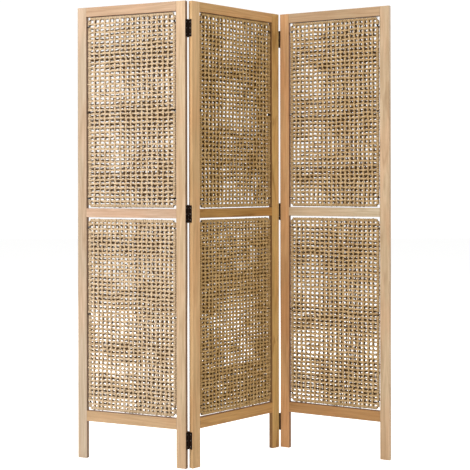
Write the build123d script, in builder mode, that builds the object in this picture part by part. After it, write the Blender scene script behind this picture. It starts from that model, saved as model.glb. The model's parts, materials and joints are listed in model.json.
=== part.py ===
from build123d import *
from math import cos, radians, sin
import os

os.makedirs("parts", exist_ok=True)

# A three-panel folding screen. Each panel is a wooden frame of two stiles and three rails, joined by
# dowels. Two iron rod frames, bound with woven cord, hang on short pins between its stiles.
# Neighbouring panels turn on three butt hinges, so the screen folds like a letter Z.
# The screen stands on the ends of its stiles. +Z is up, and the viewer's side faces -Y.

# ---- Driving dimensions, in millimetres and degrees ----------------------------------------------

screen_height = 1700
panel_width = 446
panel_thickness = 19

stile_width = 38
stile_round = 2
rail_round = 1.5

bottom_rail_base = 140
bottom_rail_height = 40
middle_rail_base = 909
middle_rail_height = 34
top_rail_height = 36

dowel_radius = 4
dowel_reach = 20
dowel_spread = 9
dowel_chamfer = 1
glue_gap = 0.05
blind_end = 1

rod_radius = 3
rod_bend = 8
rod_from_stile = 10
rod_from_rail = 10

weave_thickness = 14
weave_from_stile = 3
weave_from_rail = 3
weave_corner_cut = 11
lower_infill_slack = 2.5

pin_radius = 2
pin_from_rail = 38
pin_depth = 10
pin_notch = 12

fold_gap = 2.2
hinge_heights = [100, 925, 1602]
leaf_height = 63
leaf_cover = 17.5
leaf_thickness = 1
barrel_radius = 3
barrel_from_face = 2.2
knuckle_count = 5
knuckle_gap = 0.3
hinge_pin_radius = 1.5
hinge_pin_clearance = 0.05
hinge_cap_radius = 2.6
hinge_cap_height = 1.8
hinge_cap_round = 1.4

screw_spacing = 22
screw_from_face = 9.5
screw_shank_radius = 1.5
screw_head_radius = 2.6
screw_head_depth = 0.8
screw_head_taper = 45
screw_length = 14
screw_point = 3
screw_point_taper = 22
screw_slot = 0.5
screw_sunk = 0.1

left_turn = -21
middle_turn = 42.5
right_turn = -26.5

# ---- Worked-out dimensions ------------------------------------------------------------------------

opening_half = panel_width / 2 - stile_width
rails = {
    "bottom_rail": (bottom_rail_base, bottom_rail_height),
    "middle_rail": (middle_rail_base, middle_rail_height),
    "top_rail": (screen_height - top_rail_height, top_rail_height),
}
# The space that each infill fills between two rails. A lower infill hangs a little below its rail.
infills = {
    "lower": (bottom_rail_base + bottom_rail_height, middle_rail_base - lower_infill_slack),
    "upper": (middle_rail_base + middle_rail_height, screen_height - top_rail_height),
}
dowel_heights = [
    base + height / 2 + step for base, height in rails.values() for step in (-dowel_spread, dowel_spread)
]
screw_heights = [height + step for height in hinge_heights for step in (-screw_spacing, 0, screw_spacing)]
knuckle_pitch = leaf_height / knuckle_count

# The hinge axes lie beyond the panel's edge and outside its face: at the back on the left fold, and
# at the front on the right fold.
axis_x = (panel_width + fold_gap) / 2
axis_y = panel_thickness / 2 + barrel_from_face


def upright_plane(turn, x=0.0, y=0.0):
    """The floor plane of a panel turned about Z, with its own x along the panel's width."""
    return Plane(origin=(x, y, 0), x_dir=(cos(radians(turn)), sin(radians(turn)), 0), z_dir=(0, 0, 1))


def beside(turn, axis, local_x, local_y):
    """The floor plane of a panel whose point (local_x, local_y) lies on the hinge axis."""
    offset = upright_plane(turn).from_local_coords(Vector(local_x, local_y, 0))
    return upright_plane(turn, axis.X - offset.X, axis.Y - offset.Y)


def panel_planes(x=0.0, y=0.0):
    """The floor planes of the three panels, for a middle panel centred at (x, y)."""
    middle = upright_plane(middle_turn, x, y)
    left_axis = middle.from_local_coords(Vector(-axis_x, axis_y, 0))
    right_axis = middle.from_local_coords(Vector(axis_x, -axis_y, 0))
    left = beside(left_turn, left_axis, axis_x, axis_y)
    right = beside(right_turn, right_axis, -axis_x, -axis_y)
    return {"left": left, "middle": middle, "right": right}


def corner_centres(planes):
    """The centres of the rounded corners of every panel's plan."""
    x = panel_width / 2 - stile_round
    y = panel_thickness / 2 - stile_round
    offsets = [Vector(-x, -y, 0), Vector(-x, y, 0), Vector(x, -y, 0), Vector(x, y, 0)]
    return [panel.from_local_coords(offset) for panel in planes.values() for offset in offsets]


# The origin is under the middle of the whole screen, so the panels are laid out once, measured and
# laid out again about the middle of their plan.
corners = corner_centres(panel_planes())
centre_x = (min(c.X for c in corners) + max(c.X for c in corners)) / 2
centre_y = (min(c.Y for c in corners) + max(c.Y for c in corners)) / 2
panels = panel_planes(-centre_x, -centre_y)


def edge_plane(panel, x, facing):
    """The upright plane across the panel at x. Its normal is the panel's x times facing, y is up."""
    origin = panel.from_local_coords(Vector(x, 0, 0))
    return Plane(origin=origin, x_dir=panel.y_dir * facing, z_dir=panel.x_dir * facing)


def face_plane(panel, z):
    """The panel's middle plane at height z. Its normal points to the front, y is up."""
    return Plane(origin=panel.origin + Vector(0, 0, z), x_dir=panel.x_dir, z_dir=panel.y_dir * -1)


def finish(piece, name):
    """Labels a finished piece and writes it under its node's name."""
    piece.part.label = name
    export_step(piece.part, f"parts/{name}.step")


# ---- Wooden frame ---------------------------------------------------------------------------------


def pin_heights(span):
    """The heights of the pins that hold one infill: near its lower end, half-way and near its top."""
    low, high = span
    return [low + pin_from_rail, (low + high) / 2, high - pin_from_rail]


def make_stile(name, panel, side, barrel_side):
    """An upright, with holes for dowels and infill pins inside and for hinge screws on its fold edge.

    side is -1 for the left stile and 1 for the right one. barrel_side is 1 where the hinge barrels
    stand at the back, -1 where they stand at the front, and 0 on an edge without hinges.
    """
    inner = edge_plane(panel, side * opening_half, side)
    outer = edge_plane(panel, side * panel_width / 2, -side)
    with BuildPart() as stile:
        with BuildSketch(panel):
            with Locations((side * (panel_width - stile_width) / 2, 0)):
                RectangleRounded(stile_width, panel_thickness, stile_round)
        extrude(amount=screen_height)
        with BuildSketch(inner):
            with Locations(*[(0, z) for z in dowel_heights]):
                Circle(dowel_radius + glue_gap)
        extrude(amount=dowel_reach + blind_end, mode=Mode.SUBTRACT)
        with BuildSketch(inner):
            with Locations(*[(0, z) for span in infills.values() for z in pin_heights(span)]):
                Circle(pin_radius + glue_gap)
        extrude(amount=pin_depth + blind_end, mode=Mode.SUBTRACT)
        if barrel_side:
            screw_x = -side * barrel_side * (panel_thickness / 2 - screw_from_face)
            with BuildSketch(outer):
                with Locations(*[(screw_x, z) for z in screw_heights]):
                    Circle(screw_shank_radius + glue_gap)
            extrude(amount=screw_length + blind_end, mode=Mode.SUBTRACT)
    finish(stile, name)


def make_rail(name, panel, base, height):
    """A cross rail between the stiles, with two dowel holes in each end."""
    with BuildPart() as rail:
        with BuildSketch(edge_plane(panel, -opening_half, 1)):
            with Locations((0, base + height / 2)):
                RectangleRounded(panel_thickness, height, rail_round)
        extrude(amount=2 * opening_half)
        for side in (-1, 1):
            with BuildSketch(edge_plane(panel, side * opening_half, -side)):
                with Locations((0, base + height / 2 - dowel_spread), (0, base + height / 2 + dowel_spread)):
                    Circle(dowel_radius + glue_gap)
            extrude(amount=dowel_reach + blind_end, mode=Mode.SUBTRACT)
    finish(rail, name)


def make_dowels(name, panel):
    """Every dowel of one panel: two at each end of each rail, half in the rail and half in the stile."""
    with BuildPart() as dowels:
        for side in (-1, 1):
            with BuildSketch(edge_plane(panel, side * opening_half, side)):
                with Locations(*[(0, z) for z in dowel_heights]):
                    Circle(dowel_radius)
            extrude(amount=dowel_reach, both=True)
        chamfer(dowels.edges().filter_by(GeomType.CIRCLE), dowel_chamfer)
    finish(dowels, name)


# ---- Woven infills --------------------------------------------------------------------------------


def make_rod_frame(name, panel, span):
    """A round iron rod bent into a rectangle and welded shut. The cord is woven round it."""
    half_x = opening_half - rod_from_stile
    low = span[0] + rod_from_rail
    high = span[1] - rod_from_rail
    with BuildPart() as rod_frame:
        with BuildLine(face_plane(panel, 0)) as path:
            corners = [(half_x, low), (half_x, high), (-half_x, high), (-half_x, low)]
            FilletPolyline(*corners, radius=rod_bend, close=True)
        with BuildSketch(Plane(origin=path.line @ 0, z_dir=path.line % 0)):
            Circle(rod_radius)
        sweep()
    finish(rod_frame, name)
    return rod_frame.part


def make_infill_pins(name, panel, span, rod_frame):
    """The pins of one infill. Each is welded to the rod and driven into the stile beside it."""
    with BuildPart() as pins:
        for side in (-1, 1):
            with BuildSketch(edge_plane(panel, side * (opening_half - rod_from_stile), side)):
                with Locations(*[(0, z) for z in pin_heights(span)]):
                    Circle(pin_radius)
            extrude(amount=rod_from_stile + pin_depth)
        add(rod_frame, mode=Mode.SUBTRACT)
    finish(pins, name)


def make_weave(name, panel, span, rod_frame):
    """The woven cord as one slab round the rods. Its corners and pins leave the rod bare."""
    half_x = opening_half - weave_from_stile
    low = span[0] + weave_from_rail
    high = span[1] - weave_from_rail
    with BuildPart() as weave:
        with BuildSketch(face_plane(panel, 0)):
            with Locations((0, (low + high) / 2)):
                Rectangle(2 * half_x, high - low)
            with Locations((-half_x, low), (half_x, low), (-half_x, high), (half_x, high)):
                Rectangle(2 * weave_corner_cut, 2 * weave_corner_cut, mode=Mode.SUBTRACT)
            with Locations(*[(side * half_x, z) for side in (-1, 1) for z in pin_heights(span)]):
                Rectangle(2 * (rod_from_stile - weave_from_stile), pin_notch, mode=Mode.SUBTRACT)
        extrude(amount=weave_thickness / 2, both=True)
        add(rod_frame, mode=Mode.SUBTRACT)
    finish(weave, name)


# ---- Hinges ---------------------------------------------------------------------------------------


def make_leaf(name, panel, side, barrel_side, height, first_knuckle):
    """One leaf of a butt hinge on the panel's edge, with every second knuckle of the barrel."""
    outer = edge_plane(panel, side * panel_width / 2, side)
    across = side * barrel_side
    edge_x = across * (panel_thickness / 2 - leaf_cover)
    screw_x = across * (panel_thickness / 2 - screw_from_face)
    plate_width = leaf_cover + barrel_from_face
    low = height - leaf_height / 2
    axis = Vector(side * axis_x, barrel_side * axis_y, 0)
    own = [low + i * knuckle_pitch for i in range(first_knuckle, knuckle_count, 2)]
    other = [low + i * knuckle_pitch for i in range(1 - first_knuckle, knuckle_count, 2)]
    with BuildPart() as leaf:
        with BuildSketch(outer):
            with Locations((edge_x + across * plate_width / 2, height)):
                Rectangle(plate_width, leaf_height)
        extrude(amount=leaf_thickness)
        for base in own:
            with BuildSketch(panel.offset(base)):
                with Locations((axis.X, axis.Y)):
                    Circle(barrel_radius)
            extrude(amount=knuckle_pitch)
        for base in other:
            with BuildSketch(panel.offset(base - knuckle_gap)):
                with Locations((axis.X, axis.Y)):
                    Circle(barrel_radius + knuckle_gap)
            extrude(amount=knuckle_pitch + 2 * knuckle_gap, mode=Mode.SUBTRACT)
        with BuildSketch(panel.offset(low)):
            with Locations((axis.X, axis.Y)):
                Circle(hinge_pin_radius + hinge_pin_clearance)
        extrude(amount=leaf_height, mode=Mode.SUBTRACT)
        screw_places = [(screw_x, height + step) for step in (-screw_spacing, 0, screw_spacing)]
        with BuildSketch(outer):
            with Locations(*screw_places):
                Circle(screw_shank_radius + glue_gap)
        extrude(amount=leaf_thickness, mode=Mode.SUBTRACT)
        with BuildSketch(outer.offset(leaf_thickness)):
            with Locations(*screw_places):
                Circle(screw_head_radius + screw_sunk + glue_gap)
        extrude(amount=-(screw_head_depth + screw_sunk), taper=screw_head_taper, mode=Mode.SUBTRACT)
    finish(leaf, name)


def make_hinge_pin(name, panel, side, barrel_side, height):
    """The pin of one hinge, with a domed cap at each end of the barrel."""
    low = height - leaf_height / 2
    axis = (side * axis_x, barrel_side * axis_y)
    with BuildPart() as pin:
        with BuildSketch(panel.offset(low)):
            with Locations(axis):
                Circle(hinge_pin_radius)
        extrude(amount=leaf_height)
        for base, rise in ((low + leaf_height, 1), (low, -1)):
            with BuildSketch(panel.offset(base)):
                with Locations(axis):
                    Circle(hinge_cap_radius)
            extrude(amount=rise * hinge_cap_height)
        cap_ends = pin.edges().filter_by(GeomType.CIRCLE).group_by(Axis.Z)
        fillet(cap_ends[0] + cap_ends[-1], hinge_cap_round)
    finish(pin, name)


def make_screws(name, panel, side, barrel_side):
    """The countersunk wood screws that hold one panel's hinge leaves, each with a cross in its head."""
    top = edge_plane(panel, side * panel_width / 2, side).offset(leaf_thickness - screw_sunk)
    places = [(side * barrel_side * (panel_thickness / 2 - screw_from_face), z) for z in screw_heights]
    shank_end = screw_length - screw_point
    with BuildPart() as screws:
        with BuildSketch(top):
            with Locations(*places):
                Circle(screw_head_radius)
        extrude(amount=-screw_head_depth, taper=screw_head_taper)
        with BuildSketch(top):
            with Locations(*places):
                Circle(screw_shank_radius)
        extrude(amount=-shank_end)
        with BuildSketch(top.offset(-shank_end)):
            with Locations(*places):
                Circle(screw_shank_radius)
        extrude(amount=-screw_point, taper=screw_point_taper)
        with BuildSketch(top):
            with Locations(*places):
                Rectangle(screw_head_radius, screw_slot)
                Rectangle(screw_slot, screw_head_radius)
        extrude(amount=-screw_slot, mode=Mode.SUBTRACT)
    finish(screws, name)


# ---- The whole screen -----------------------------------------------------------------------------

# For each panel: where its left and right edges carry hinge barrels (1 back, -1 front, 0 no hinge).
barrels = {"left": (0, 1), "middle": (1, -1), "right": (-1, 0)}

for panel_name, panel in panels.items():
    make_stile(f"{panel_name}_panel_left_stile", panel, -1, barrels[panel_name][0])
    make_stile(f"{panel_name}_panel_right_stile", panel, 1, barrels[panel_name][1])
    for rail_name, (base, height) in rails.items():
        make_rail(f"{panel_name}_panel_{rail_name}", panel, base, height)
    make_dowels(f"{panel_name}_panel_dowels", panel)
    for infill_name, span in infills.items():
        rod_frame = make_rod_frame(f"{panel_name}_panel_{infill_name}_rod_frame", panel, span)
        make_infill_pins(f"{panel_name}_panel_{infill_name}_pins", panel, span, rod_frame)
        make_weave(f"{panel_name}_panel_{infill_name}_weave", panel, span, rod_frame)

# Each fold: the outer panel and its hinged side, and the side of the middle panel that it joins.
folds = {"left": (1, -1, 1), "right": (-1, 1, -1)}

for fold_name, (outer_side, middle_side, barrel_side) in folds.items():
    for place, height in zip(("bottom", "middle", "top"), hinge_heights):
        hinge = f"{fold_name}_fold_{place}_hinge"
        make_leaf(f"{hinge}_outer_leaf", panels[fold_name], outer_side, barrel_side, height, 1)
        make_leaf(f"{hinge}_inner_leaf", panels["middle"], middle_side, barrel_side, height, 0)
        make_hinge_pin(f"{hinge}_pin", panels["middle"], middle_side, barrel_side, height)
    make_screws(f"{fold_name}_fold_outer_screws", panels[fold_name], outer_side, barrel_side)
    make_screws(f"{fold_name}_fold_inner_screws", panels["middle"], middle_side, barrel_side)

# ---- Places that the record names, in metres -------------------------------------------------------

for panel_name, panel in panels.items():
    print(panel_name, "panel origin", [round(v / 1000, 5) for v in panel.origin])
    for side_name, side in (("left", -1), ("right", 1)):
        foot = panel.from_local_coords(Vector(side * (panel_width - stile_width) / 2, 0, 0))
        print(panel_name, side_name, "foot", [round(v / 1000, 5) for v in foot])
for fold_name, (outer_side, middle_side, barrel_side) in folds.items():
    axis = panels["middle"].from_local_coords(Vector(middle_side * axis_x, barrel_side * axis_y, 0))
    print(fold_name, "fold axis", [round(v / 1000, 5) for v in axis])
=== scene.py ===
import bpy
import json
import math
from mathutils import Matrix, Vector


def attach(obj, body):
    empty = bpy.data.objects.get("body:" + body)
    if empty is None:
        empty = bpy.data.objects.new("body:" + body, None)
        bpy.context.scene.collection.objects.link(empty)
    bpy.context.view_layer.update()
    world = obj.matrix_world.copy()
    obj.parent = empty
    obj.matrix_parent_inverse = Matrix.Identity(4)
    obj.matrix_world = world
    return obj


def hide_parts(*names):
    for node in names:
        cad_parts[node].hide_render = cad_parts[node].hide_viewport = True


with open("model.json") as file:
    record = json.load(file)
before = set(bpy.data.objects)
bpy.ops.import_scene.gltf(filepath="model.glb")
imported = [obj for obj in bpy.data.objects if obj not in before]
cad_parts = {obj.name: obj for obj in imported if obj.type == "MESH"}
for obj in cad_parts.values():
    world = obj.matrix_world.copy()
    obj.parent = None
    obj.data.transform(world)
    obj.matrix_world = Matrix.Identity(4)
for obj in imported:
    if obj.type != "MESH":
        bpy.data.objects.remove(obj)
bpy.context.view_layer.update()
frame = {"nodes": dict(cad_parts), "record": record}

# %% [markdown]
# # A folding screen of wood and woven cord
#
# The screen has three wooden frames. Each frame holds two panels of hand-woven plant-fibre cord,
# stretched over a black iron rod, and hinges join the frames. The wood and iron keep the shapes of
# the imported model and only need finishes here. The cord is different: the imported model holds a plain
# slab where the real thing is open weaving that shows light and shade through its holes. So this
# lesson spends most of its steps on weaving.

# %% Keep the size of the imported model
nodes = frame["nodes"]
record = frame["record"]

# %% [markdown]
# ## Each panel's own axes
#
# The panels stand turned against each other, so nothing on them is square to the room. It is much
# easier to weave in a panel's own axes: x across the panel, y up and z out of its front face. The
# record names the flat end of every leg, and the line from a panel's left foot to its right foot is
# its x axis. A matrix made from that takes points from the panel's axes to the room, and its inverse
# takes points back.


# %% Panel axes
def mount_point(name):
    """The place of one of the record's mounts."""
    return Vector(next(m["pos_m"] for m in record["mounts"] if m["name"] == name))


def panel_axes(side):
    """The matrix from a panel's own axes to the room, with its origin on the floor at mid width."""
    left = mount_point(f"{side}_panel_left_foot")
    right = mount_point(f"{side}_panel_right_foot")
    across = (right - left).normalized()
    up = Vector((0, 0, 1))
    front = across.cross(up)
    turn = Matrix((across, up, front)).transposed().to_4x4()
    return Matrix.Translation((left + right) / 2) @ turn


SIDES = ("left", "middle", "right")
LEVELS = ("upper", "lower")
axes = {side: panel_axes(side) for side in SIDES}


def own_box(node, side):
    """A node's lowest and highest corners, measured in the axes of its panel."""
    back = axes[side].inverted()
    points = [back @ v.co for v in nodes[node].data.vertices]
    low = Vector([min(p[i] for p in points) for i in range(3)])
    high = Vector([max(p[i] for p in points) for i in range(3)])
    return low, high


for side in SIDES:
    x_axis = axes[side].col[0]
    print(side, "panel turned", round(math.degrees(math.atan2(x_axis.y, x_axis.x)), 1), "degrees")

# %% [markdown]
# ## Camera
#
# The screen is seen from straight in front and a little above its middle, with upright lines kept
# upright. A tilted camera would make them lean, so the camera looks level and its lens is shifted
# down instead. The lens is long, as for a product picture.

# %% Camera
EYE_ACROSS = 0.0054
EYE_HEIGHT = 1.0344
EYE_DISTANCE = 3.7547
SENSOR_WIDTH = 36
LENS = 75.9
VIEW_END = 60
SHIFT_DOWN = 0.1089
ROLL = math.radians(0.085)

camera_data = bpy.data.cameras.new("camera")
camera_data.lens = LENS
camera_data.sensor_width = SENSOR_WIDTH
camera_data.shift_y = -SHIFT_DOWN
camera_data.clip_end = VIEW_END
camera = bpy.data.objects.new("camera", camera_data)
bpy.context.scene.collection.objects.link(camera)
camera.location = (EYE_ACROSS, -EYE_DISTANCE, EYE_HEIGHT)
camera.rotation_euler = (math.pi / 2, ROLL, 0)
bpy.context.scene.camera = camera
print("camera", round(EYE_DISTANCE, 2), "m in front,", EYE_HEIGHT, "m up")

# %% [markdown]
# ## Small helpers for node trees
#
# Light, finishes and weaving are all built from nodes. Six helpers keep the trees readable: one fills
# a node's inputs with values or links, one adds a node and fills it, one gives a node's working output,
# two write a sum or a mix of colours as a node, and one makes a smooth step between two values.


# %% Node helpers
def fill(tree, node, values):
    """Sets a node's inputs, by name or number. A value may also be a socket to link from."""
    for key, value in values.items():
        if isinstance(value, bpy.types.NodeSocket):
            tree.links.new(value, node.inputs[key])
        else:
            node.inputs[key].default_value = value
    return node


def add(tree, kind, values=None, **settings):
    """Adds a node with its settings and its inputs filled."""
    node = tree.nodes.new(kind)
    for key, value in settings.items():
        setattr(node, key, value)
    return fill(tree, node, values or {})


def out(node):
    """The first output of a node that its settings leave in use."""
    return next(socket for socket in node.outputs if socket.enabled)


def calc(tree, operation, *values):
    """A Math node on one to three values or sockets."""
    return out(add(tree, "ShaderNodeMath", dict(enumerate(values)), operation=operation))


def mixed(tree, factor, a, b, blend="MIX"):
    """A Mix node on two colours."""
    return out(add(tree, "ShaderNodeMix", {0: factor, 6: a, 7: b}, data_type="RGBA", blend_type=blend))


def band(tree, value, low, high, to_low=0.0, to_high=1.0):
    """A smooth step of value between low and high."""
    places = {0: value, 1: low, 2: high, 3: to_low, 4: to_high}
    return out(add(tree, "ShaderNodeMapRange", places, interpolation_type="SMOOTHSTEP"))


# %% [markdown]
# ## Light and floor
#
# The screen stands in a white studio. A large soft lamp high on the left lights the two panels that
# turn that way, a weaker one in front keeps the middle panel out of the dark, and two behind draw the
# back and the right side. The walls are pure white to look at but give only a little light, so the
# edges that face right and the inside of the weave stay dark. A Light Path node tells the two apart,
# for the walls and for the floor.

# %% Light and floor
bpy.context.scene.view_settings.view_transform = "Standard"
WALL_LIGHT = 0.32
WALL_LOOK = 1.05
FLOOR_GLOW = 0.68
FLOOR_SIZE = 30.0
AIM_HEIGHT = 0.9


def seen_by_camera(tree, other, seen):
    """A strength that is seen for what the camera looks at and other for the light it gives."""
    looking = add(tree, "ShaderNodeLightPath").outputs["Is Camera Ray"]
    return calc(tree, "MULTIPLY_ADD", looking, seen - other, other)


world = bpy.data.worlds.new("studio")
world.use_nodes = True
walls = world.node_tree.nodes["Background"]
fill(world.node_tree, walls, {
    "Color": (1, 1, 1, 1), "Strength": seen_by_camera(world.node_tree, WALL_LIGHT, WALL_LOOK),
})
bpy.context.scene.world = world


def add_lamp(name, direction, distance, size, power):
    """A square soft lamp that points at the middle of the screen from a direction."""
    data = bpy.data.lights.new(name, "AREA")
    data.shape = "SQUARE"
    data.size = size
    data.energy = power
    lamp = bpy.data.objects.new(name, data)
    bpy.context.scene.collection.objects.link(lamp)
    towards = Vector(direction).normalized()
    lamp.location = Vector((0, 0, AIM_HEIGHT)) + distance * towards
    lamp.rotation_euler = towards.to_track_quat("Z", "Y").to_euler()
    lamp.visible_camera = False


add_lamp("key", (-0.60, -0.52, 0.60), 4.6, 1.5, 130)
add_lamp("front", (0.20, -0.90, 0.42), 6.0, 3.0, 120)
add_lamp("back", (-0.45, 0.80, 0.42), 4.6, 2.0, 130)
add_lamp("side", (0.82, 0.36, 0.40), 4.6, 2.0, 70)

half = FLOOR_SIZE / 2
floor_mesh = bpy.data.meshes.new("floor")
floor_mesh.from_pydata(
    [(-half, -half, 0), (half, -half, 0), (half, half, 0), (-half, half, 0)], [], [(0, 1, 2, 3)]
)
floor = bpy.data.objects.new("floor", floor_mesh)
bpy.context.scene.collection.objects.link(floor)
floor_paint = bpy.data.materials.new("pale floor")
floor_paint.use_nodes = True
fill(floor_paint.node_tree, floor_paint.node_tree.nodes["Principled BSDF"], {
    "Base Color": (0.93, 0.93, 0.92, 1), "Roughness": 0.9, "Emission Color": (1, 1, 1, 1),
    "Emission Strength": seen_by_camera(floor_paint.node_tree, 0.0, FLOOR_GLOW),
})
floor_mesh.materials.append(floor_paint)
print("studio ready, floor", FLOOR_SIZE, "m wide")

# %% [markdown]
# ## Node groups
#
# An effect that several finishes share is a group, built once and placed in each of them with its own
# values. The weaving trees are groups as well. One helper starts a group with named inputs and
# outputs, and one places it.


# %% Group helpers
def new_group(name, kind, inputs, outputs):
    """An empty node group. inputs are (name, socket type, start value), outputs are (name, type)."""
    group = bpy.data.node_groups.new(name, kind)
    for label, socket_type, start in inputs:
        socket = group.interface.new_socket(label, in_out="INPUT", socket_type=socket_type)
        if start is not None:
            socket.default_value = start
    for label, socket_type in outputs:
        group.interface.new_socket(label, in_out="OUTPUT", socket_type=socket_type)
    source = group.nodes.new("NodeGroupInput").outputs
    sink = group.nodes.new("NodeGroupOutput").inputs
    return group, source, sink


def place_group(tree, group, values):
    """A placed copy of a group with its inputs filled. Returns its outputs."""
    kind = "GeometryNodeGroup" if group.bl_idname == "GeometryNodeTree" else "ShaderNodeGroup"
    return fill(tree, add(tree, kind, node_tree=group), values).outputs


FLOAT, INTEGER, COLOUR = "NodeSocketFloat", "NodeSocketInt", "NodeSocketColor"
VECTOR, GEOMETRY, MATERIAL = "NodeSocketVector", "NodeSocketGeometry", "NodeSocketMaterial"

# %% [markdown]
# ## Wood grain as one group
#
# Every stile and rail is cut from the same kind of pale hardwood, but no two boards look alike. One
# group makes the grain for all of them. Its vector runs with the board, z along the grain, so noise
# that is squeezed along z draws out into fibres. The layers of the board are broad bands from the
# growth rings, long thin fibres, patches that lean to pink or to straw, brown heartwood with wavy
# edges, and tiny dark pores. A seed moves each board to another part of the tree. The group also gives
# a height and a roughness, so that fibres catch the light.


# %% Wood grain group
def shade_of(tree, tone, factors):
    """A tone multiplied by three factors."""
    return mixed(tree, 1.0, tone, (*factors, 1), blend="MULTIPLY")


def make_wood_group():
    """Colour, height and roughness of planed hardwood with its grain along z."""
    inputs = [
        ("Vector", VECTOR, (0, 0, 0)),
        ("Tone", COLOUR, (0.55, 0.38, 0.25, 1)),
        ("Heartwood", FLOAT, 0.3),
        ("Seed", FLOAT, 0.0),
    ]
    outputs = [("Color", COLOUR), ("Height", FLOAT), ("Roughness", FLOAT)]
    tree, given, result = new_group("Wood grain", "ShaderNodeTree", inputs, outputs)

    def grain_noise(squeeze, scale, detail, distortion=0.0, offset=0.0):
        """Noise drawn out along the board by squeeze, read at this board's own place."""
        seed = calc(tree, "ADD", given["Seed"], offset)
        stretch = {0: given["Vector"], 1: (1, 1, squeeze)}
        drawn = out(add(tree, "ShaderNodeVectorMath", stretch, operation="MULTIPLY"))
        places = {"Vector": drawn, "W": seed, "Scale": scale, "Detail": detail, "Distortion": distortion}
        return out(add(tree, "ShaderNodeTexNoise", places, noise_dimensions="4D"))

    rings = calc(tree, "PINGPONG", calc(tree, "MULTIPLY", grain_noise(0.05, 40, 2, 0.5), 7.0), 0.5)
    fibres = grain_noise(0.02, 420, 3, offset=7.1)
    broad = grain_noise(0.10, 16, 2, offset=3.7)
    blush = grain_noise(0.20, 22, 1, offset=13.9)
    heart = grain_noise(0.16, 26, 3, distortion=1.2, offset=11.3)
    pores = grain_noise(0.06, 1500, 1, offset=5.9)

    fibre_tone = band(tree, fibres, 0.3, 0.7)
    # How deep the tone is, from rings, fibres and broad bands together.
    fibre_depth = calc(tree, "MULTIPLY", fibre_tone, 0.28)
    depth = calc(tree, "MULTIPLY_ADD", calc(tree, "MULTIPLY", rings, 2.0), 0.36, fibre_depth)
    depth = calc(tree, "MULTIPLY_ADD", band(tree, broad, 0.35, 0.68), 0.4, depth)
    pale = shade_of(tree, given["Tone"], (1.20, 1.22, 1.24))
    deep = shade_of(tree, given["Tone"], (0.74, 0.68, 0.58))
    heart_tone = shade_of(tree, given["Tone"], (0.52, 0.40, 0.27))
    board = mixed(tree, depth, pale, deep)
    pink = shade_of(tree, board, (1.03, 0.96, 0.93))
    board = mixed(tree, band(tree, blush, 0.42, 0.62), board, pink)
    heart_mask = calc(tree, "MULTIPLY", band(tree, heart, 0.54, 0.66), given["Heartwood"])
    board = mixed(tree, heart_mask, board, heart_tone)
    pore_mask = calc(tree, "MULTIPLY", band(tree, pores, 0.62, 0.74), 0.35)
    board = mixed(tree, pore_mask, board, heart_tone)
    height = calc(tree, "SUBTRACT", calc(tree, "MULTIPLY", fibre_tone, 0.6), pore_mask)
    tree.links.new(board, result["Color"])
    tree.links.new(height, result["Height"])
    tree.links.new(band(tree, fibres, 0.2, 0.8, 0.42, 0.6), result["Roughness"])
    return tree


wood_group = make_wood_group()
print("wood grain group:", len(wood_group.nodes), "nodes")

# %% [markdown]
# ## Worn edges as one group
#
# Hands rub the corners of boards first. The group knows a board's half size and gives a mask that is
# strongest close to its long edges and breaks up with noise. Every board uses it for lighter, drier
# corners.


# %% Worn edge group
def make_edge_group():
    """A mask of the long edges of a bar that runs along z and is centred on the vector's origin."""
    inputs = [
        ("Vector", VECTOR, (0, 0, 0)),
        ("Half Size", VECTOR, (0.02, 0.01, 1)),
        ("Width", FLOAT, 0.004),
        ("Breakup", FLOAT, 0.5),
    ]
    tree, given, result = new_group("Worn edges", "ShaderNodeTree", inputs, [("Mask", FLOAT)])
    size = out(add(tree, "ShaderNodeVectorMath", {0: given["Vector"]}, operation="ABSOLUTE"))
    gap = out(add(tree, "ShaderNodeVectorMath", {0: given["Half Size"], 1: size}, operation="SUBTRACT"))
    parts = add(tree, "ShaderNodeSeparateXYZ", {0: gap}).outputs
    # On a face one gap is nought, and the other is the distance to the nearest long edge.
    nearest = calc(tree, "MAXIMUM", parts["X"], parts["Y"])
    noise = out(add(tree, "ShaderNodeTexNoise", {"Vector": given["Vector"], "Scale": 60, "Detail": 3}))
    reach = calc(tree, "MULTIPLY", given["Width"], calc(tree, "MULTIPLY_ADD", noise, 2.0, -0.2))
    closeness = calc(tree, "SUBTRACT", 1.0, calc(tree, "DIVIDE", nearest, reach))
    mask = calc(tree, "MULTIPLY", band(tree, closeness, 0.0, 1.0), given["Breakup"])
    tree.links.new(mask, result["Mask"])
    return tree


edge_group = make_edge_group()
print("worn edge group:", len(edge_group.nodes), "nodes")

# %% [markdown]
# ## A finish for each board
#
# A board's finish takes Object coordinates, moves them to the middle of that board and turns them so
# that z runs along its grain. The stiles' grain runs up, the rails' grain runs across. Each board has a
# tone of its own: the left panel is pale and a little pink, the middle one golden with dark heartwood
# in two of its boards, and the right one mixed.


# %% Board finishes
def start_material(name):
    """A new material with its node tree, its Principled shader and its Object coordinates."""
    material = bpy.data.materials.new(name)
    material.use_nodes = True
    tree = material.node_tree
    shader = tree.nodes["Principled BSDF"]
    coordinates = add(tree, "ShaderNodeTexCoord").outputs["Object"]
    return material, tree, shader, coordinates


def in_own_axes(tree, coordinates, centre, rotation):
    """Coordinates moved to a piece's middle and turned into its own axes."""
    places = {"Vector": coordinates, "Location": centre, "Rotation": rotation}
    return out(add(tree, "ShaderNodeMapping", places, vector_type="TEXTURE"))


def add_bump(tree, shader, height, strength, distance):
    """Feeds a height to the shader's normal."""
    places = {"Height": height, "Strength": strength, "Distance": distance}
    tree.links.new(out(add(tree, "ShaderNodeBump", places)), shader.inputs["Normal"])


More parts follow.
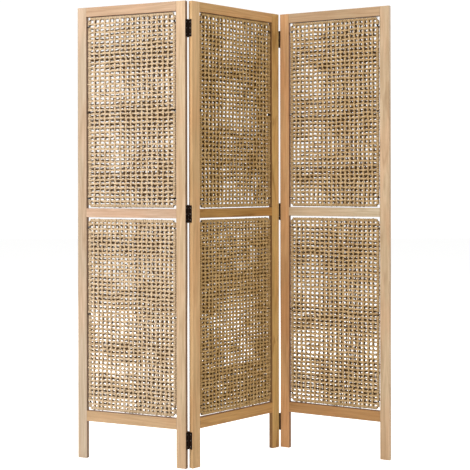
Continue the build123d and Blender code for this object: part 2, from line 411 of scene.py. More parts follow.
def board_finish(node, side, along_rail, tone, heartwood, shaded_sides, seed):
    """The oiled finish of one stile or rail. Its map of sides takes a direction on x to the (reach, depth)
    of a band of painted shade.
    """
    low, high = own_box(node, side)
    x_axis = axes[side].col[0]
    turn = math.atan2(x_axis.y, x_axis.x)
    centre = axes[side] @ ((low + high) / 2)
    size = (high - low) / 2
    rotation = (0, math.pi / 2, turn) if along_rail else (0, 0, turn)
    half_size = (size.y, size.z, size.x) if along_rail else (size.x, size.z, size.y)
    material, tree, shader, coordinates = start_material(node)
    vector = in_own_axes(tree, coordinates, centre, rotation)
    grain = place_group(tree, wood_group, {
        "Vector": vector, "Tone": (*tone, 1), "Heartwood": heartwood, "Seed": seed,
    })
    worn = place_group(tree, edge_group, {"Vector": vector, "Half Size": half_size, "Width": 0.003})
    rubbed = shade_of(tree, (*tone, 1), (1.2, 1.2, 1.22))
    colour = mixed(tree, calc(tree, "MULTIPLY", worn["Mask"], 0.6), grain["Color"], rubbed)
    # Painted shade: the faces that look at an infill or across a fold are darkened towards brown, for the
    # shade that falls in those narrow gaps.
    own = add(tree, "ShaderNodeSeparateXYZ", {0: vector}).outputs
    painted_shade_tone = shade_of(tree, (*tone, 1), (0.30, 0.20, 0.14))
    for direction, (reach, depth) in shaded_sides.items():
        towards = calc(tree, "MULTIPLY", own["X"], direction)
        mask = band(tree, towards, half_size[0] - reach, half_size[0] - reach / 4)
        behind = band(tree, own["Y"], depth - 0.002, depth + 0.002)
        strength = calc(tree, "MULTIPLY", calc(tree, "MULTIPLY", mask, behind), 0.75)
        colour = mixed(tree, strength, colour, painted_shade_tone)
    tree.links.new(colour, shader.inputs["Base Color"])
    tree.links.new(grain["Roughness"], shader.inputs["Roughness"])
    shader.inputs["Specular IOR Level"].default_value = 0.3
    add_bump(tree, shader, grain["Height"], 0.25, 0.0004)
    return material


def paint(node, material):
    """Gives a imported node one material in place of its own."""
    mesh = nodes[node].data
    mesh.materials.clear()
    mesh.materials.append(material)


# Each board's tone, and how much heartwood it shows.
BOARDS = {
    "left_panel_left_stile": ((0.51, 0.395, 0.285), 0.05),
    "left_panel_right_stile": ((0.57, 0.42, 0.27), 0.12),
    "left_panel_top_rail": ((0.50, 0.33, 0.21), 0.25),
    "left_panel_middle_rail": ((0.57, 0.40, 0.285), 0.15),
    "left_panel_bottom_rail": ((0.52, 0.34, 0.19), 0.2),
    "middle_panel_left_stile": ((0.62, 0.40, 0.20), 0.15),
    "middle_panel_right_stile": ((0.56, 0.35, 0.125), 0.7),
    "middle_panel_top_rail": ((0.56, 0.33, 0.13), 0.4),
    "middle_panel_middle_rail": ((0.44, 0.24, 0.07), 0.8),
    "middle_panel_bottom_rail": ((0.52, 0.29, 0.10), 0.4),
    "right_panel_left_stile": ((0.52, 0.29, 0.13), 0.2),
    "right_panel_right_stile": ((0.53, 0.385, 0.245), 0.35),
    "right_panel_top_rail": ((0.45, 0.315, 0.185), 0.2),
    "right_panel_middle_rail": ((0.54, 0.43, 0.295), 0.15),
    "right_panel_bottom_rail": ((0.38, 0.20, 0.075), 0.6),
}
# How far the painted shade reaches in from a side, and how deep behind the middle of the board it starts.
INFILL_PAINTED_SHADE = (0.0012, -1.0)
# The sides of each board that face an infill. A rail's own x points down.
INFILL_SIDES = {
    "left_stile": (1,), "right_stile": (-1,),
    "top_rail": (1,), "middle_rail": (1, -1), "bottom_rail": (-1,),
}
# These stiles also face another one across a fold, and get painted shade there as well.
FOLD_PAINTED_SHADE = {
    "left_panel_right_stile": (1, (0.0020, -1.0)),
    "middle_panel_left_stile": (-1, (0.0020, 0.004)),
    "middle_panel_right_stile": (1, (0.0020, -1.0)),
    "right_panel_left_stile": (-1, (0.0020, -1.0)),
}

for number, (node, (tone, heartwood)) in enumerate(BOARDS.items()):
    side, board = node.split("_panel_")
    is_rail = board.endswith("rail")
    shaded_sides = {direction: INFILL_PAINTED_SHADE for direction in INFILL_SIDES[board]}
    if node in FOLD_PAINTED_SHADE:
        direction, painted_shade = FOLD_PAINTED_SHADE[node]
        shaded_sides[direction] = painted_shade
    finish = board_finish(node, side, is_rail, tone, heartwood, shaded_sides, 3.1 * number)
    paint(node, finish)
print("finished", len(BOARDS), "boards")

# %% [markdown]
# ## Dowels, iron and steel
#
# The dowels are plain beech, hidden in the joints. The rods and the pins that hold them are painted
# black by hand, so the paint is slightly lumpy. The hinges are dark brown lacquer with small worn
# spots, and the screws are dull plated steel.


# %% Dowel and metal finishes
def dowel_finish():
    """Plain beech."""
    material, tree, shader, coordinates = start_material("beech dowel")
    places = {"Vector": coordinates, "Tone": (0.60, 0.44, 0.28, 1), "Heartwood": 0.0}
    grain = place_group(tree, wood_group, places)
    tree.links.new(grain["Color"], shader.inputs["Base Color"])
    tree.links.new(grain["Roughness"], shader.inputs["Roughness"])
    return material


def metal_finish(name, paint_tone, bare_tone, wear, roughness, lumps, metallic):
    """Painted or plated metal. wear is how much bare metal shows, in spots."""
    material, tree, shader, coordinates = start_material(name)
    coarse = out(add(tree, "ShaderNodeTexNoise", {"Vector": coordinates, "Scale": 90, "Detail": 4}))
    fine = out(add(tree, "ShaderNodeTexNoise", {"Vector": coordinates, "Scale": 900, "Detail": 3}))
    spots = calc(tree, "MULTIPLY", band(tree, coarse, 0.52, 0.68), band(tree, fine, 0.42, 0.62))
    bare = calc(tree, "MULTIPLY", spots, wear)
    tree.links.new(mixed(tree, bare, paint_tone, bare_tone), shader.inputs["Base Color"])
    tree.links.new(calc(tree, "MAXIMUM", bare, metallic), shader.inputs["Metallic"])
    shader.inputs["Specular IOR Level"].default_value = 0.2
    gloss = band(tree, fine, 0.2, 0.8, roughness - 0.1, roughness + 0.12)
    tree.links.new(gloss, shader.inputs["Roughness"])
    add_bump(tree, shader, calc(tree, "ADD", coarse, calc(tree, "MULTIPLY", fine, 0.3)), 0.4, lumps)
    return material


BLACK_PAINT = (0.010, 0.008, 0.007, 1)
BARE_IRON = (0.08, 0.06, 0.05, 1)
# For each metal: its paint, the metal under it, wear, roughness, height of the lumps and metallic.
METALS = {
    "rod_frame": ("black rod", BLACK_PAINT, BARE_IRON, 0.4, 0.6, 0.0005, 0.0),
    "er_pins": ("black pin", BLACK_PAINT, BARE_IRON, 0.4, 0.6, 0.0004, 0.0),
    "leaf": ("hinge lacquer", (0.015, 0.006, 0.003, 1), (0.20, 0.12, 0.065, 1), 0.4, 0.55, 0.0003, 0.0),
    "hinge_pin": ("black hinge pin", (0.012, 0.010, 0.009, 1), (0.2, 0.17, 0.14, 1), 0.5, 0.35, 0.0002, 0.3),
    "screws": ("plated screw", (0.36, 0.34, 0.31, 1), (0.55, 0.53, 0.5, 1), 0.6, 0.38, 0.0002, 0.9),
}
# The finish of every node whose name ends in the key.
finishes = {"dowels": dowel_finish()}
finishes.update({ending: metal_finish(*values) for ending, values in METALS.items()})
painted = 0
for node in nodes:
    for ending, material in finishes.items():
        if node.endswith(ending):
            paint(node, material)
            painted += 1
print("finished", painted, "fixings and rods")

# %% [markdown]
# ## The cord's finish
#
# The cord is twisted from dried plant fibre: straw and tan, dull, with darker strands here and there.
# A pattern that follows a cord needs to know where along it and where round it a point is, so the
# weaving trees below store attributes on their meshes: "along" in metres, "ring", which is the
# direction round the cord, "tint", a random number for each strand, and in the woven layers "inside",
# which says where painted shade goes. Twisted fibre is a helix. In terms of those attributes that is
# the sine of the distance along plus twice the angle round, and the grooves of the helix get painted shade.


# %% Cord finish
def make_fibre_group():
    """Height and shade of fibre twisted into a cord."""
    inputs = [
        ("Along", FLOAT, 0.0),
        ("Ring", VECTOR, (1, 0, 0)),
        ("Twist Length", FLOAT, 0.012),
    ]
    tree, given, result = new_group("Twisted fibre", "ShaderNodeTree", inputs, [("Height", FLOAT)])
    ring = add(tree, "ShaderNodeSeparateXYZ", {0: given["Ring"]}).outputs
    twists = calc(tree, "DIVIDE", given["Along"], given["Twist Length"])
    turn = calc(tree, "MULTIPLY", twists, 2 * math.pi)
    # The double angle round the cord makes two strands in each turn.
    x_square = calc(tree, "POWER", ring["X"], 2.0)
    cos_double = calc(tree, "SUBTRACT", x_square, calc(tree, "POWER", ring["Y"], 2.0))
    sin_double = calc(tree, "MULTIPLY", calc(tree, "MULTIPLY", ring["X"], ring["Y"]), 2.0)
    first = calc(tree, "MULTIPLY", calc(tree, "SINE", turn), cos_double)
    second = calc(tree, "MULTIPLY", calc(tree, "COSINE", turn), sin_double)
    height = calc(tree, "MULTIPLY_ADD", calc(tree, "ADD", first, second), 0.5, 0.5)
    tree.links.new(height, result["Height"])
    return tree


fibre_group = make_fibre_group()
FIBRE_TWIST = 0.011


def cord_finish(name, pale, middle, deep, inner):
    """Dull twisted plant fibre that changes tone from strand to strand and along each strand, with painted
    shade in the grooves of the twist and on the side towards the rod.
    """
    material, tree, shader, coordinates = start_material(name)
    along = add(tree, "ShaderNodeAttribute", attribute_name="along").outputs["Fac"]
    ring = add(tree, "ShaderNodeAttribute", attribute_name="ring").outputs["Vector"]
    tint = add(tree, "ShaderNodeAttribute", attribute_name="tint").outputs["Fac"]
    inside = add(tree, "ShaderNodeAttribute", attribute_name="inside").outputs["Fac"]
    places = {"Along": along, "Ring": ring, "Twist Length": FIBRE_TWIST}
    twist = place_group(tree, fibre_group, places)["Height"]
    patches = out(add(tree, "ShaderNodeTexNoise", {"Vector": coordinates, "Scale": 22, "Detail": 4}))
    straws = out(add(tree, "ShaderNodeTexNoise", {"Vector": coordinates, "Scale": 1400, "Detail": 2}))
    patch_tone = calc(tree, "MULTIPLY", band(tree, patches, 0.3, 0.7), 0.55)
    tone = calc(tree, "MULTIPLY_ADD", tint, 0.45, patch_tone)
    base = mixed(tree, tone, pale, middle)
    # Painted shade: the grooves of the twist are darkened towards the deep tone.
    painted_groove_shade = calc(tree, "MULTIPLY", band(tree, twist, 0.45, 0.05), 0.6)
    base = mixed(tree, painted_groove_shade, base, deep)
    base = mixed(tree, calc(tree, "MULTIPLY", band(tree, straws, 0.55, 0.75), 0.35), base, deep)
    # Painted shade: the side towards the rod is darkened to the inner tone, for the shade between the two
    # layers.
    base = mixed(tree, calc(tree, "MULTIPLY", inside, 0.9), base, inner)
    tree.links.new(base, shader.inputs["Base Color"])
    tree.links.new(band(tree, straws, 0.3, 0.7, 0.7, 0.9), shader.inputs["Roughness"])
    shader.inputs["Specular IOR Level"].default_value = 0.06
    add_bump(tree, shader, calc(tree, "MULTIPLY_ADD", straws, 0.35, twist), 0.7, 0.0008)
    return material


# For each panel: its palest straw, its usual tan, the painted shade of the grooves, which also colours dark
# straws, and the painted shade on the side turned to the rod.
CORD_TONES = {
    "left": (
        (0.90, 0.71, 0.49, 1), (0.71, 0.51, 0.30, 1),
        (0.20, 0.11, 0.045, 1), (0.12, 0.060, 0.024, 1),
    ),
    "middle": (
        (0.75, 0.51, 0.235, 1), (0.57, 0.35, 0.13, 1),
        (0.14, 0.075, 0.022, 1), (0.072, 0.034, 0.010, 1),
    ),
    "right": (
        (0.74, 0.53, 0.29, 1), (0.57, 0.37, 0.175, 1),
        (0.15, 0.085, 0.030, 1), (0.085, 0.040, 0.014, 1),
    ),
}
cords = {side: cord_finish(f"{side} cord", *CORD_TONES[side]) for side in SIDES}
print("cord finishes:", len(cords))

# %% [markdown]
# ## One set of strands
#
# Weaving is two sets of strands, one up and one across. Both are made by the same tree. It lays a
# number of straight curves side by side, two plies to a strand, and then moves their points: a
# cosine wave lifts each strand over one crossing and under the next, neighbours start on opposite sides, and
# the two plies wind round each other. At both ends they turn down round the rod. Hand-made
# unevenness comes from noise on the spacing and the thickness, and each ply has a random tint. All
# sizes are inputs, so one tree serves every panel.

# %% Strand tree
POINTS_PER_CROSSING = 3
POINTS_PER_WRAP = 2
PLIES = 2
PLY_SIDES = 5
PLY_FLATNESS = 0.55


def random_value(tree, low, high, item, seed):
    """A random number between low and high for each item."""
    node = add(tree, "FunctionNodeRandomValue", {"ID": item, "Seed": seed})
    node.inputs[2].default_value = low
    node.inputs[3].default_value = high
    return out(node)


def store(tree, geometry, name, value, kind="FLOAT"):
    """Stores a named attribute on the points of a geometry."""
    places = {"Geometry": geometry, "Name": name}
    node = add(tree, "GeometryNodeStoreNamedAttribute", places, data_type=kind)
    tree.links.new(value, node.inputs["Value"])
    return out(node)


def ply_profile(tree, radius):
    """The round section of one ply, with the direction round it stored as an attribute."""
    size = {"Resolution": PLY_SIDES, "Radius": radius}
    circle = out(add(tree, "GeometryNodeCurvePrimitiveCircle", size))
    place = out(add(tree, "GeometryNodeInputPosition"))
    outward = out(add(tree, "ShaderNodeVectorMath", {0: place}, operation="NORMALIZE"))
    return store(tree, circle, "ring", outward, "FLOAT_VECTOR")


def make_strand_tree():
    """Strands along x, spread over y, that weave up and down in z."""
    inputs = [
        ("Length", FLOAT, 0.35),
        ("Spread", FLOAT, 0.70),
        ("Strands", INTEGER, 40),
        ("Crossings", INTEGER, 20),
        ("Phase", INTEGER, 0),
        ("Ply Radius", FLOAT, 0.002),
        ("Lift", FLOAT, 0.002),
        ("Twist Length", FLOAT, 0.04),
        ("Unevenness", FLOAT, 0.001),
        ("Wrap", FLOAT, 0.005),
        ("Wrap Fall", FLOAT, -0.005),
        ("Seed", INTEGER, 0),
    ]
    tree, given, result = new_group("Strands", "GeometryNodeTree", inputs, [("Mesh", GEOMETRY)])
    line = out(add(tree, "GeometryNodeCurvePrimitiveLine", {"Start": (0, 0, 0), "End": (1, 0, 0)}))
    spaces = calc(tree, "ADD", given["Crossings"], 1)
    count = calc(tree, "MULTIPLY_ADD", spaces, POINTS_PER_CROSSING, 1 + 2 * POINTS_PER_WRAP)
    fine = out(add(tree, "GeometryNodeResampleCurve", {"Curve": line, "Count": count}))
    copies = add(tree, "GeometryNodeDuplicateElements", {"Geometry": fine}, domain="SPLINE")
    tree.links.new(calc(tree, "MULTIPLY", given["Strands"], PLIES), copies.inputs["Amount"])
    index = copies.outputs["Duplicate Index"]
    strand = calc(tree, "FLOOR", calc(tree, "DIVIDE", index, PLIES))
    ply = calc(tree, "MODULO", index, PLIES)
    point = add(tree, "GeometryNodeSplineParameter").outputs["Index"]

    # The points beyond the rods, POINTS_PER_WRAP at each end, turn down round them.
    step = calc(tree, "DIVIDE", calc(tree, "SUBTRACT", point, POINTS_PER_WRAP), POINTS_PER_CROSSING)
    share = calc(tree, "DIVIDE", step, spaces)
    inner = calc(tree, "MINIMUM", calc(tree, "MAXIMUM", share, 0.0), 1.0)
    beyond = calc(tree, "MULTIPLY", calc(tree, "SUBTRACT", share, inner), spaces)
    wrap = calc(tree, "DIVIDE", calc(tree, "MULTIPLY", beyond, POINTS_PER_CROSSING), POINTS_PER_WRAP)
    inner_along = calc(tree, "MULTIPLY", calc(tree, "SUBTRACT", inner, 0.5), given["Length"])
    wrap_angle = calc(tree, "MULTIPLY", wrap, math.pi / 2)
    wrap_reach = calc(tree, "MULTIPLY", calc(tree, "SINE", wrap_angle), given["Wrap"])
    along = calc(tree, "ADD", inner_along, wrap_reach)
    wrap_fall = calc(tree, "SUBTRACT", 1.0, calc(tree, "COSINE", wrap_angle))
    slot = calc(tree, "DIVIDE", calc(tree, "ADD", strand, 1), calc(tree, "ADD", given["Strands"], 1))
    across = calc(tree, "MULTIPLY", calc(tree, "SUBTRACT", slot, 0.5), given["Spread"])

    # Slow wander of each strand, read from noise at a place of the strand's own.
    spot = add(tree, "ShaderNodeCombineXYZ", {"X": along, "Y": calc(tree, "MULTIPLY", strand, 3.31)})
    tree.links.new(calc(tree, "MULTIPLY", given["Seed"], 1.7), spot.inputs["Z"])
    wander = add(tree, "ShaderNodeTexNoise", {"Vector": out(spot), "Scale": 24, "Detail": 2})
    drift = add(tree, "ShaderNodeSeparateXYZ", {0: wander.outputs["Color"]}).outputs
    side_drift = calc(tree, "MULTIPLY", calc(tree, "SUBTRACT", drift["X"], 0.5), given["Unevenness"])
    rise_drift = calc(tree, "MULTIPLY", calc(tree, "SUBTRACT", drift["Y"], 0.5), given["Unevenness"])
    own_random = random_value(tree, -0.35, 0.35, strand, given["Seed"])
    own_shift = calc(tree, "MULTIPLY", own_random, given["Unevenness"])

    steps = calc(tree, "ADD", calc(tree, "MULTIPLY", inner, spaces), strand)
    half_turns = calc(tree, "ADD", steps, given["Phase"])
    wave = calc(tree, "COSINE", calc(tree, "MULTIPLY", half_turns, math.pi))
    start = random_value(tree, 0.0, 2 * math.pi, strand, calc(tree, "ADD", given["Seed"], 5))
    wound = calc(tree, "DIVIDE", calc(tree, "MULTIPLY", along, 2 * math.pi), given["Twist Length"])
    turn = calc(tree, "MULTIPLY_ADD", ply, math.pi, calc(tree, "ADD", wound, start))
    ply_side = calc(tree, "MULTIPLY", calc(tree, "COSINE", turn), given["Ply Radius"])
    flattened = calc(tree, "MULTIPLY", given["Ply Radius"], PLY_FLATNESS)
    ply_rise = calc(tree, "MULTIPLY", calc(tree, "SINE", turn), flattened)

    y = calc(tree, "ADD", calc(tree, "ADD", across, ply_side), calc(tree, "ADD", side_drift, own_shift))
    lifted = calc(tree, "MULTIPLY_ADD", wave, given["Lift"], ply_rise)
    fallen = calc(tree, "MULTIPLY", wrap_fall, given["Wrap Fall"])
    still_flat = calc(tree, "SUBTRACT", 1.0, wrap_fall)
    z = calc(tree, "ADD", calc(tree, "MULTIPLY_ADD", lifted, still_flat, fallen), rise_drift)
    place = out(add(tree, "ShaderNodeCombineXYZ", {"X": along, "Y": y, "Z": z}))
    places = {"Geometry": copies.outputs["Geometry"], "Position": place}
    bent = out(add(tree, "GeometryNodeSetPosition", places))
    marked = store(tree, bent, "along", along)
    own_tint = random_value(tree, 0.0, 1.0, index, calc(tree, "ADD", given["Seed"], 9))
    marked = store(tree, marked, "tint", own_tint)

    thickness = calc(tree, "MULTIPLY_ADD", drift["Z"], 0.7, 0.68)
    places = {"Curve": marked, "Scale": thickness, "Fill Caps": True}
    sweep = add(tree, "GeometryNodeCurveToMesh", places)
    tree.links.new(ply_profile(tree, given["Ply Radius"]), sweep.inputs["Profile Curve"])
    tree.links.new(out(sweep), result["Mesh"])
    return tree


strand_tree = make_strand_tree()
print("strand tree:", len(strand_tree.nodes), "nodes")

# %% [markdown]
# ## One woven layer
#
# A layer joins a set of strands across with a set turned a quarter turn, which starts on the other
# side of each crossing. A slow noise field then pushes the whole layer about, so the rows wave
# together as they do in hand work. The attribute "inside" marks how far a point lies towards the rod,
# which the cord's finish darkens as painted shade. The tree ends by making real geometry and setting the
# material.


# %% Layer tree
def finish_tree(tree, geometry, material, result):
    """The last nodes of every tree: smooth shading, real geometry and a material."""
    smooth = out(add(tree, "GeometryNodeSetShadeSmooth", {"Geometry": geometry}))
    real = out(add(tree, "GeometryNodeRealizeInstances", {"Geometry": smooth}))
    painted_mesh = out(add(tree, "GeometryNodeSetMaterial", {"Geometry": real, "Material": material}))
    tree.links.new(painted_mesh, result["Geometry"])


def make_layer_tree():
    """A plain weave in the xy plane, centred on the origin."""
    inputs = [
        ("Geometry", GEOMETRY, None),
        ("Width", FLOAT, 0.35),
        ("Height", FLOAT, 0.70),
        ("Columns", INTEGER, 20),
        ("Rows", INTEGER, 46),
        ("Ply Radius", FLOAT, 0.002),
        ("Lift", FLOAT, 0.002),
        ("Twist Length", FLOAT, 0.04),
        ("Unevenness", FLOAT, 0.001),
        ("Push", FLOAT, 0.003),
        ("Inner Side", FLOAT, -1.0),
        ("Wrap", FLOAT, 0.005),
        ("Wrap Fall", FLOAT, -0.005),
        ("Seed", INTEGER, 0),
        ("Material", MATERIAL, None),
    ]
    tree, given, result = new_group("Woven layer", "GeometryNodeTree", inputs, [("Geometry", GEOMETRY)])
    same_for_both = ("Ply Radius", "Lift", "Twist Length", "Unevenness", "Wrap", "Wrap Fall")
    shared = {key: given[key] for key in same_for_both}
    rows = place_group(tree, strand_tree, {
        "Length": given["Width"], "Spread": given["Height"], "Strands": given["Rows"],
        "Crossings": given["Columns"], "Phase": 1, "Seed": given["Seed"], **shared,
    })["Mesh"]
    # The spread is negative so that, once turned, strand numbers still count from left to right.
    columns = place_group(tree, strand_tree, {
        "Length": given["Height"], "Spread": calc(tree, "MULTIPLY", given["Width"], -1.0),
        "Strands": given["Columns"], "Crossings": given["Rows"], "Phase": 0,
        "Seed": calc(tree, "ADD", given["Seed"], 31), **shared,
    })["Mesh"]
    places = {"Geometry": columns, "Rotation": (0, 0, math.pi / 2)}
    turned = out(add(tree, "GeometryNodeTransform", places))
    join = add(tree, "GeometryNodeJoinGeometry")
    tree.links.new(rows, join.inputs[0])
    tree.links.new(turned, join.inputs[0])

    position = out(add(tree, "GeometryNodeInputPosition"))
    parts = add(tree, "ShaderNodeSeparateXYZ", {0: position}).outputs
    depth = calc(tree, "MULTIPLY", parts["Z"], given["Inner Side"])
    # Painted shade mask: how far a point lies towards the rod, which the cord's finish darkens.
    marked = store(tree, out(join), "inside", band(tree, depth, -0.0018, 0.0020))
    offset = calc(tree, "MULTIPLY", given["Seed"], 0.37)
    shifted = out(add(tree, "ShaderNodeVectorMath", {0: position, 1: offset}, operation="ADD"))
    noise = add(tree, "ShaderNodeTexNoise", {"Vector": shifted, "Scale": 17, "Detail": 1})
    ends = {0: noise.outputs["Color"], 1: (0.5, 0.5, 0.5)}
    centred = out(add(tree, "ShaderNodeVectorMath", ends, operation="SUBTRACT"))
    flat = out(add(tree, "ShaderNodeVectorMath", {0: centred, 1: (1, 1, 0.25)}, operation="MULTIPLY"))
    push = add(tree, "ShaderNodeVectorMath", {0: flat, "Scale": given["Push"]}, operation="SCALE")
    moved = add(tree, "GeometryNodeSetPosition", {"Geometry": marked, "Offset": out(push)})
    finish_tree(tree, out(moved), given["Material"], result)
    return tree


layer_tree = make_layer_tree()
print("layer tree:", len(layer_tree.nodes), "nodes")

# %% [markdown]
# ## The binding round the rod
#
# The ends of the strands are tucked under a pair of cords that is wound round the rod, all the way
# round the infill, with a little dark rod showing between the turns. Only the corners and the places
# where the rod is pinned to the stile stay bare. The tree takes the straight stretches as edges, makes
# them curves with several points to each turn, doubles them, and moves every point out from the rod by
# an angle that grows with the distance along.


# %% Binding tree
POINTS_PER_TURN = 8


def make_binding_tree():
    """A cord wound round every edge of the mesh it is given."""
    inputs = [
        ("Geometry", GEOMETRY, None),
        ("Rod Radius", FLOAT, 0.003),
        ("Ply Radius", FLOAT, 0.002),
        ("Pitch", FLOAT, 0.008),
        ("Ply Step", FLOAT, 0.0034),
        ("Unevenness", FLOAT, 0.0005),
        ("Seed", INTEGER, 0),
        ("Material", MATERIAL, None),
    ]
    tree, given, result = new_group("Rod binding", "GeometryNodeTree", inputs, [("Geometry", GEOMETRY)])
    line = out(add(tree, "GeometryNodeMeshToCurve", {0: given["Geometry"]}))
    step = calc(tree, "DIVIDE", given["Pitch"], POINTS_PER_TURN)
    fine = add(tree, "GeometryNodeResampleCurve", {"Curve": line}, mode="LENGTH")
    tree.links.new(step, fine.inputs["Length"])
    places = {"Geometry": out(fine), "Amount": PLIES}
    plies = add(tree, "GeometryNodeDuplicateElements", places, domain="SPLINE")
    ply_start = calc(tree, "MULTIPLY", plies.outputs["Duplicate Index"], given["Ply Step"])
    far = add(tree, "GeometryNodeSplineParameter").outputs["Length"]
    tangent = out(add(tree, "GeometryNodeInputTangent"))
    normal = out(add(tree, "GeometryNodeInputNormal"))
    side = out(add(tree, "ShaderNodeVectorMath", {0: tangent, 1: normal}, operation="CROSS_PRODUCT"))
    wound_length = calc(tree, "ADD", far, ply_start)
    turn = calc(tree, "MULTIPLY", calc(tree, "DIVIDE", wound_length, given["Pitch"]), 2 * math.pi)
    spot = add(tree, "GeometryNodeInputPosition")
    bumps = out(add(tree, "ShaderNodeTexNoise", {"Vector": out(spot), "Scale": 160, "Detail": 1}))
    drift = calc(tree, "MULTIPLY", calc(tree, "SUBTRACT", bumps, 0.5), given["Unevenness"])
    reach = calc(tree, "ADD", calc(tree, "ADD", given["Rod Radius"], given["Ply Radius"]), drift)
    first = add(tree, "ShaderNodeVectorMath", {0: normal}, operation="SCALE")
    tree.links.new(calc(tree, "MULTIPLY", calc(tree, "COSINE", turn), reach), first.inputs["Scale"])
    second = add(tree, "ShaderNodeVectorMath", {0: side}, operation="SCALE")
    tree.links.new(calc(tree, "MULTIPLY", calc(tree, "SINE", turn), reach), second.inputs["Scale"])
    offset = out(add(tree, "ShaderNodeVectorMath", {0: out(first), 1: out(second)}, operation="ADD"))
    places = {"Geometry": plies.outputs["Geometry"], "Offset": offset}
    wound = out(add(tree, "GeometryNodeSetPosition", places))
    marked = store(tree, wound, "along", calc(tree, "MULTIPLY", far, 5.0))
    turns = calc(tree, "FLOOR", calc(tree, "DIVIDE", wound_length, given["Pitch"]))
    marked = store(tree, marked, "tint", random_value(tree, 0.0, 1.0, turns, given["Seed"]))
    sweep = add(tree, "GeometryNodeCurveToMesh", {"Curve": marked, "Fill Caps": True})
    tree.links.new(ply_profile(tree, given["Ply Radius"]), sweep.inputs["Profile Curve"])
    finish_tree(tree, out(sweep), given["Material"], result)
    return tree


binding_tree = make_binding_tree()
print("binding tree:", len(binding_tree.nodes), "nodes")

# %% [markdown]
# ## Running a tree
#
# A tree needs an object to run on. A helper makes one with a small start mesh, sets the tree's named
# inputs through the identifiers of their sockets, evaluates it and keeps the result as a plain mesh.
# The mesh is then moved from the panel's axes to its place in the room.


# %% Run a tree and keep its mesh
def grow(name, tree, inputs, place, start_points=((0, 0, 0),), start_edges=()):
    """Runs a geometry tree and returns its result as an object with a plain mesh, in the room."""
    start = bpy.data.meshes.new(name + " start")
    start.from_pydata(list(start_points), list(start_edges), [])
    worker = bpy.data.objects.new(name + " worker", start)
    bpy.context.scene.collection.objects.link(worker)
    modifier = worker.modifiers.new("weave", "NODES")
    modifier.node_group = tree
    sockets = {s.name: s.identifier for s in tree.interface.items_tree if s.in_out == "INPUT"}
    for key, value in inputs.items():
        modifier[sockets[key]] = value
    depsgraph = bpy.context.evaluated_depsgraph_get()
    mesh = bpy.data.meshes.new_from_object(worker.evaluated_get(depsgraph))
    bpy.data.objects.remove(worker)
    mesh.name = name
    mesh.transform(place)
    piece = bpy.data.objects.new(name, mesh)
    bpy.context.scene.collection.objects.link(piece)
    return piece


# %% [markdown]
# ## Weaving the six infills
#
# Each infill has a front layer and a back layer with the rod between them. The two are woven by hand
# on the same rod but never line up, because their counts of columns and rows differ. Where holes
# meet, the light behind shines through, and where they miss, the inside shows, dark from real shade
# and from painted shade. No two infills have the same counts either, and the left upper one is woven widest.

# %% Weave the infills
ROD_RADIUS = 0.003
PLY_RADIUS = {"front": 0.0022, "back": 0.0025}
WRAP = 0.0045
LAYER_DEPTH = 0.0047
LIFT = 0.0020
STRAND_TWIST = 0.041
UNEVENNESS = 0.0034
PUSH = 0.009
BINDING_PLY_RADIUS = 0.0018
BINDING_PITCH = 0.0080
BINDING_PLY_STEP = 0.0035
BINDING_UNEVENNESS = 0.0012
CORNER_BARE = 0.003
PIN_BARE = 0.006
# The turns along the very top are pushed up under the rail.
TOP_SLACK = {"upper": 0.003, "lower": 0.0}
# Spaces across and up in each layer. There is one strand less than spaces.
FRONT_SPACES = {
    ("left", "upper"): (16, 43), ("left", "lower"): (19, 47),
    ("middle", "upper"): (20, 43), ("middle", "lower"): (20, 52),
    ("right", "upper"): (19, 42), ("right", "lower"): (18, 46),
}
BACK_SPACES = {
    ("left", "upper"): (17, 46), ("left", "lower"): (20, 43),
    ("middle", "upper"): (19, 45), ("middle", "lower"): (21, 50),
    ("right", "upper"): (20, 45), ("right", "lower"): (19, 43),
}


def binding_edges(half_x, low, high, top_slack, pin_heights):
    """The stretches of rod that are bound: top and bottom, and each side between its pins."""
    reach = half_x - CORNER_BARE
    stretches = [((-reach, low), (reach, low)), ((-reach, high + top_slack), (reach, high + top_slack))]
    stops = [low + CORNER_BARE]
    for height in pin_heights:
        stops += [height - PIN_BARE, height + PIN_BARE]
    stops.append(high - CORNER_BARE)
    for x in (-half_x, half_x):
        for bottom, top in zip(stops[0::2], stops[1::2]):
            stretches.append(((x, bottom), (x, top)))
    points = [(x, y, 0) for stretch in stretches for x, y in stretch]
    edges = [(2 * i, 2 * i + 1) for i in range(len(stretches))]
    return points, edges


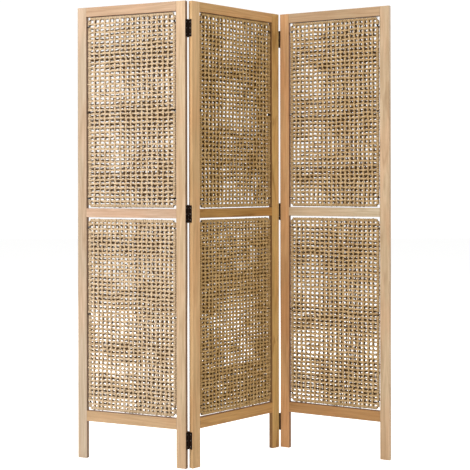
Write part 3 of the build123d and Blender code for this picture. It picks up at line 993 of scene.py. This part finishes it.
def pin_heights_of(side, level):
    """The heights of the infill's pins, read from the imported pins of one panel."""
    back = axes[side].inverted()
    heights = sorted((back @ v.co).y for v in nodes[f"{side}_panel_{level}_pins"].data.vertices)
    groups = [[heights[0]]]
    for height in heights[1:]:
        if height - groups[-1][-1] > 2 * PIN_BARE:
            groups.append([])
        groups[-1].append(height)
    return [(group[0] + group[-1]) / 2 for group in groups]


def weave_infill(side, level, seed):
    """The front layer, the back layer and the binding of one infill."""
    rod_low, rod_high = own_box(f"{side}_panel_{level}_rod_frame", side)
    half_x = rod_high.x - ROD_RADIUS
    low = rod_low.y + ROD_RADIUS
    high = rod_high.y - ROD_RADIUS
    node = f"{side}_panel_{level}_weave"
    centre = Vector((0, (low + high) / 2, 0))
    layers = [("front", FRONT_SPACES[side, level], 1), ("back", BACK_SPACES[side, level], -1)]
    for number, (face, spaces, outward) in enumerate(layers):
        inputs = {
            "Width": 2 * half_x, "Height": high - low, "Columns": spaces[0] - 1, "Rows": spaces[1] - 1,
            "Ply Radius": PLY_RADIUS[face], "Lift": LIFT, "Twist Length": STRAND_TWIST,
            "Unevenness": UNEVENNESS, "Push": PUSH, "Inner Side": -outward,
            "Wrap": WRAP, "Wrap Fall": -outward * LAYER_DEPTH,
            "Seed": seed + 100 * number, "Material": cords[side],
        }
        place = axes[side] @ Matrix.Translation(centre + Vector((0, 0, outward * LAYER_DEPTH)))
        piece = grow(f"{side}_{level}_{face}_weave", layer_tree, inputs, place)
        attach(piece, f"{side}_panel")
        if face == "front":
            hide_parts(node)
    points, edges = binding_edges(half_x, low, high, TOP_SLACK[level], pin_heights_of(side, level))
    inputs = {
        "Rod Radius": ROD_RADIUS, "Ply Radius": BINDING_PLY_RADIUS, "Pitch": BINDING_PITCH,
        "Ply Step": BINDING_PLY_STEP, "Unevenness": BINDING_UNEVENNESS,
        "Seed": seed, "Material": cords[side],
    }
    binding = grow(f"{side}_{level}_binding", binding_tree, inputs, axes[side], points, edges)
    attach(binding, f"{side}_panel")
    faces = len(piece.data.polygons)
    print(side, level, "back layer", faces, "faces, binding", len(binding.data.polygons), "faces")


for number, (side, level) in enumerate((s, v) for s in SIDES for v in LEVELS):
    weave_infill(side, level, 3 + 7 * number)
